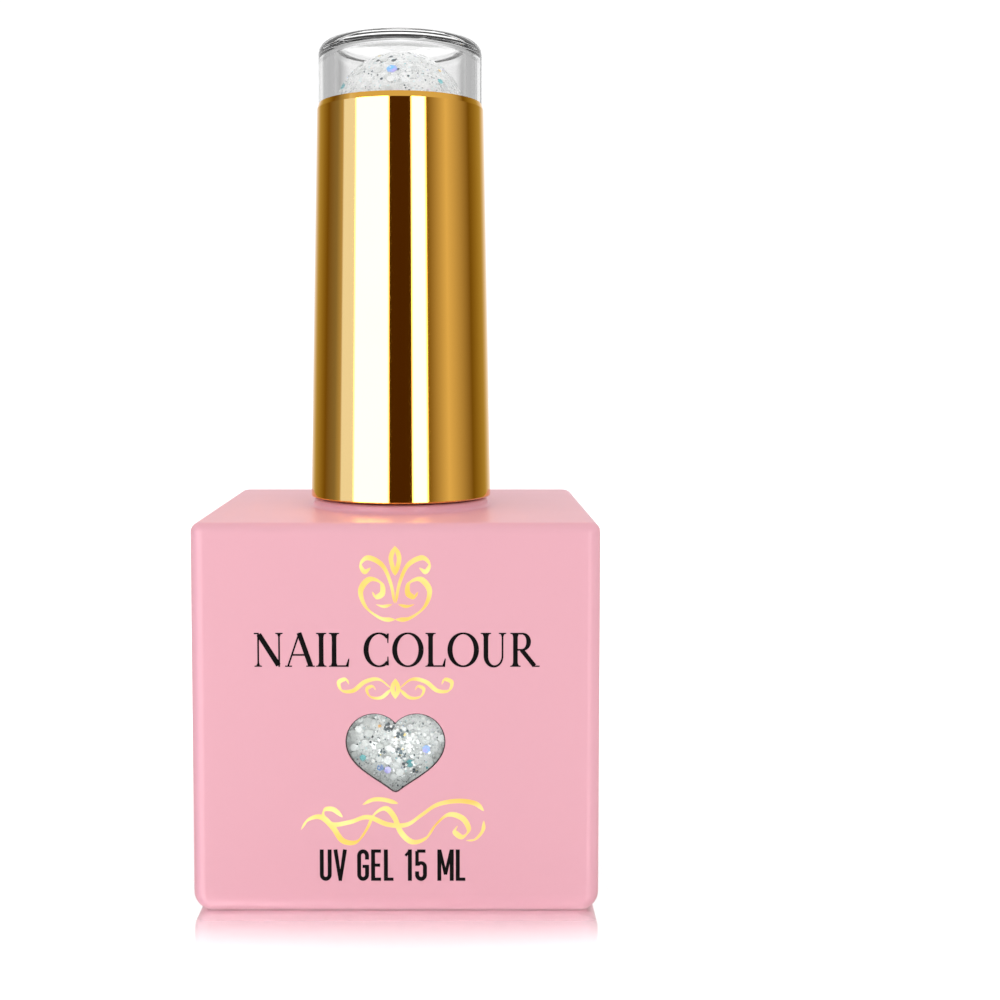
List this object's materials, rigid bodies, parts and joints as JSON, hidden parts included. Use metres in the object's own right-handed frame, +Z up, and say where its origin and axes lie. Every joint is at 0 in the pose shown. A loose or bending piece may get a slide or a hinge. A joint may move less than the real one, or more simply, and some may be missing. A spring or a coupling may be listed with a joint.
{
  "type": "nail polish bottle",
  "caption": "Square lacquered glass bottle with a heart-shaped window and a tall screw cap with a clear crown, a colour sample and a built-in flat brush.",
  "frame": {"origin": "on the table, at the middle of the bottle's standing face, on the neck axis", "axes": "+Z up along the neck axis, the face with the heart window looks towards -Y, +X to the right seen from the front"},
  "size_m": [0.0324, 0.0274, 0.0715],
  "materials": {
    "clear_glass": "clear moulded flint glass",
    "pink_lacquer": "opaque glossy sprayed lacquer",
    "glitter_gel": "clear gel full of silver and holographic flakes",
    "ball_steel": "polished",
    "label_paper": "blank satin sticker",
    "liner_foam": "fine closed-cell foam",
    "inner_cap_plastic": "moulded polypropylene",
    "gold_metal": "mirror-bright gold anodised",
    "clear_acrylic": "clear polished acrylic",
    "sample_plastic": "white moulded plastic",
    "sample_gel": "cured glitter gel",
    "stem_plastic": "natural polyethylene",
    "anchor_steel": "bare strip",
    "bristle_nylon": "fine straight nylon filaments"
  },
  "bodies": {
    "bottle": {"glass_bottle": "clear_glass", "lacquer_coat": "pink_lacquer", "base_label": "label_paper", "gel_fill": "glitter_gel", "mixing_balls": "ball_steel"},
    "liner": {"sealing_liner": "liner_foam"},
    "cap": {"inner_cap": "inner_cap_plastic", "gold_sleeve": "gold_metal", "clear_top": "clear_acrylic", "sample_dome": "sample_plastic", "sample_layer": "sample_gel", "brush_stem": "stem_plastic", "bristle_anchor": "anchor_steel", "brush_bristles": "bristle_nylon"}
  },
  "joints": [
    {"name": "cap_rise", "type": "slide", "parent": "bottle", "child": "liner", "axis": [0, 0, 1], "range_m": [0, 0.0421]},
    {"name": "cap_turn", "type": "hinge", "parent": "liner", "child": "cap", "pos_m": [0, 0, 0.0326], "axis": [0, 0, 1], "range_deg": [0, 7143.3]}
  ],
  "couplings": [
    {"joint": "cap_rise", "follows": "cap_turn", "m_per_rad": 0.00033688}
  ]
}
